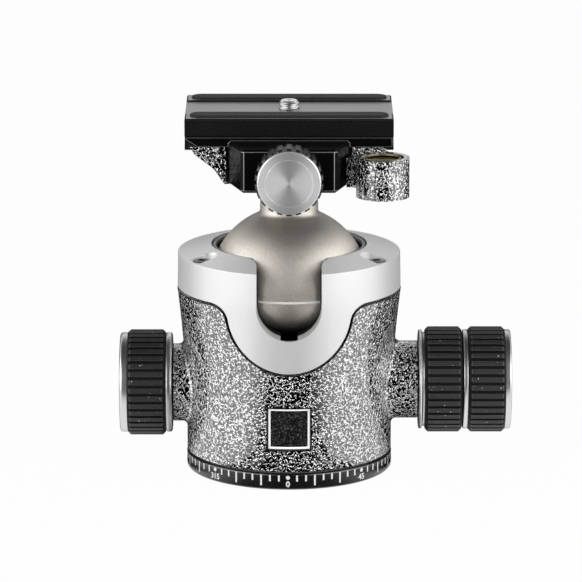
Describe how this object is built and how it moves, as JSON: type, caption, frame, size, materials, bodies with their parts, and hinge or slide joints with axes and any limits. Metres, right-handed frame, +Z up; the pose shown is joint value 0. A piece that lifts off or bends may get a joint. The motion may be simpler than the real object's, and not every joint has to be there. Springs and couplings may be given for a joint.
{
  "type": "tripod ball head",
  "caption": "Tripod ball head with a panning base, drop notch, side lock knobs and a screw clamp holding a sliding dovetail camera plate.",
  "frame": {"origin": "centre of the base's underside, in the mouth of the tripod thread", "axes": "+Z up the neck of the upright ball to the camera screw; -Y towards the drop notch, the label and the clamp knob; +X towards the double lock knob"},
  "size_m": [0.1256, 0.0809, 0.1196],
  "materials": {
    "black_cast": "black hammered stove enamel",
    "black_anodised": "black anodised, satin",
    "dark_anodised": "dark anodised plate, satin",
    "base_ring": "black satin with engraved scale",
    "collar_metal": "bead-blasted silver grey",
    "ball_metal": "hard anodised champagne grey, satin",
    "steel": "plain steel",
    "black_steel": "blackened steel",
    "trim_metal": "satin silver anodised",
    "spun_metal": "spun bright metal",
    "bronze": "plain bronze",
    "polymer": "grey low-friction polymer",
    "liner": "black low-friction polymer with a grey lip",
    "rubber": "ribbed black rubber",
    "pad_rubber": "dark grey rubber strip",
    "label": "bare dark satin plate",
    "vial": "clear level vial",
    "vial_ring": "cream ring"
  },
  "bodies": {
    "base": {"base_disc": "base_ring", "pan_washer": "polymer", "pan_upper_washer": "polymer", "brake_drum": "steel"},
    "housing": {"housing": "black_cast", "floor_plate": "steel", "floor_screws": "steel", "label_plate": "label", "label_frame": "spun_metal", "collar": "collar_metal", "collar_screws": "black_steel", "lock_cup": "polymer", "ball_cradle": "liner", "friction_ring": "liner", "pan_bush": "bronze", "lock_bush": "bronze"},
    "pan_knob": {"pan_shaft": "steel", "pan_knob_ring": "trim_metal", "pan_knob_core": "black_anodised", "pan_knob_grip": "rubber", "pan_knob_cap": "trim_metal"},
    "pan_shoe": {"pan_shoe": "bronze"},
    "lock_knob": {"lock_shaft": "steel", "lock_knob_ring": "trim_metal", "lock_knob_core": "black_anodised", "lock_knob_grip": "rubber"},
    "lock_wedge": {"lock_wedge": "bronze"},
    "friction_knob": {"friction_screw": "steel", "friction_knob_ring": "trim_metal", "friction_knob_core": "black_anodised", "friction_knob_grip": "rubber", "friction_knob_cap": "trim_metal"},
    "friction_wedge": {"friction_wedge": "bronze"},
    "side_pad": {"side_pad": "polymer"},
    "neck_shim": {"neck_shim": "polymer"},
    "top": {"ball": "ball_metal", "clamp_body": "black_cast", "clamp_bolt": "black_steel", "level_ring": "vial_ring", "level_vial": "vial", "rear_jaw": "black_anodised", "rear_jaw_screws": "black_steel", "guide_pins": "steel", "jaw_spring": "steel"},
    "jaw": {"jaw": "black_anodised"},
    "clamp_knob": {"clamp_screw": "steel", "clamp_knob_core": "black_anodised", "clamp_knob_rim": "black_anodised", "clamp_knob_cap": "spun_metal"},
    "plate": {"plate": "dark_anodised", "plate_strips": "pad_rubber", "plate_stops": "steel", "screw_clip": "steel"},
    "camera_screw": {"camera_screw": "steel"}
  },
  "joints": [
    {"name": "pan", "type": "hinge", "parent": "base", "child": "housing", "pos_m": [0, 0, 0], "axis": [0, 0, 1], "continuous": true},
    {"name": "pan_lock_turn", "type": "hinge", "parent": "housing", "child": "pan_knob", "pos_m": [0, 0, 0.0269], "axis": [1, 0, 0], "range_deg": [0, 180]},
    {"name": "pan_shoe_slide", "type": "slide", "parent": "housing", "child": "pan_shoe", "axis": [1, 0, 0], "range_m": [0, 0.0005]},
    {"name": "ball_lock_turn", "type": "hinge", "parent": "housing", "child": "lock_knob", "pos_m": [0, 0, 0.0279], "axis": [-1, 0, 0], "range_deg": [0, 300]},
    {"name": "lock_wedge_slide", "type": "slide", "parent": "housing", "child": "lock_wedge", "axis": [-1, 0, 0], "range_m": [0, 0.001]},
    {"name": "friction_turn", "type": "hinge", "parent": "housing", "child": "friction_knob", "pos_m": [0, 0, 0.0279], "axis": [-1, 0, 0], "range_deg": [0, 300]},
    {"name": "friction_wedge_slide", "type": "slide", "parent": "housing", "child": "friction_wedge", "axis": [1, 0, 0], "range_m": [0, 0.001]},
    {"name": "ball_tilt_side", "type": "hinge", "parent": "housing", "child": "side_pad", "pos_m": [0, 0, 0.0592], "axis": [0, 1, 0], "range_deg": [-30, 30]},
    {"name": "ball_tilt_front", "type": "hinge", "parent": "side_pad", "child": "neck_shim", "pos_m": [0, 0, 0.0592], "axis": [1, 0, 0], "range_deg": [-20, 90]},
    {"name": "ball_spin", "type": "hinge", "parent": "neck_shim", "child": "top", "pos_m": [0, 0, 0.0592], "axis": [0, 0, 1], "continuous": true},
    {"name": "jaw_slide", "type": "slide", "parent": "top", "child": "jaw", "axis": [0, -1, 0], "range_m": [0, 0.0026]},
    {"name": "clamp_knob_turn", "type": "hinge", "parent": "jaw", "child": "clamp_knob", "pos_m": [0, -0.02, 0.102], "axis": [0, -1, 0], "range_deg": [0, 720]},
    {"name": "plate_slide", "type": "slide", "parent": "top", "child": "plate", "axis": [1, 0, 0], "range_m": [-0.015, 0.015]},
    {"name": "camera_screw_turn", "type": "hinge", "parent": "plate", "child": "camera_screw", "pos_m": [0, 0, 0.112], "axis": [0, 0, 1], "continuous": true}
  ],
  "couplings": [
    {"joint": "pan_shoe_slide", "follows": "pan_lock_turn", "m_per_rad": 0.000159},
    {"joint": "lock_wedge_slide", "follows": "ball_lock_turn", "m_per_rad": 0.00019},
    {"joint": "friction_wedge_slide", "follows": "friction_turn", "m_per_rad": 0.00019},
    {"joint": "jaw_slide", "follows": "clamp_knob_turn", "m_per_rad": 0.000199}
  ]
}
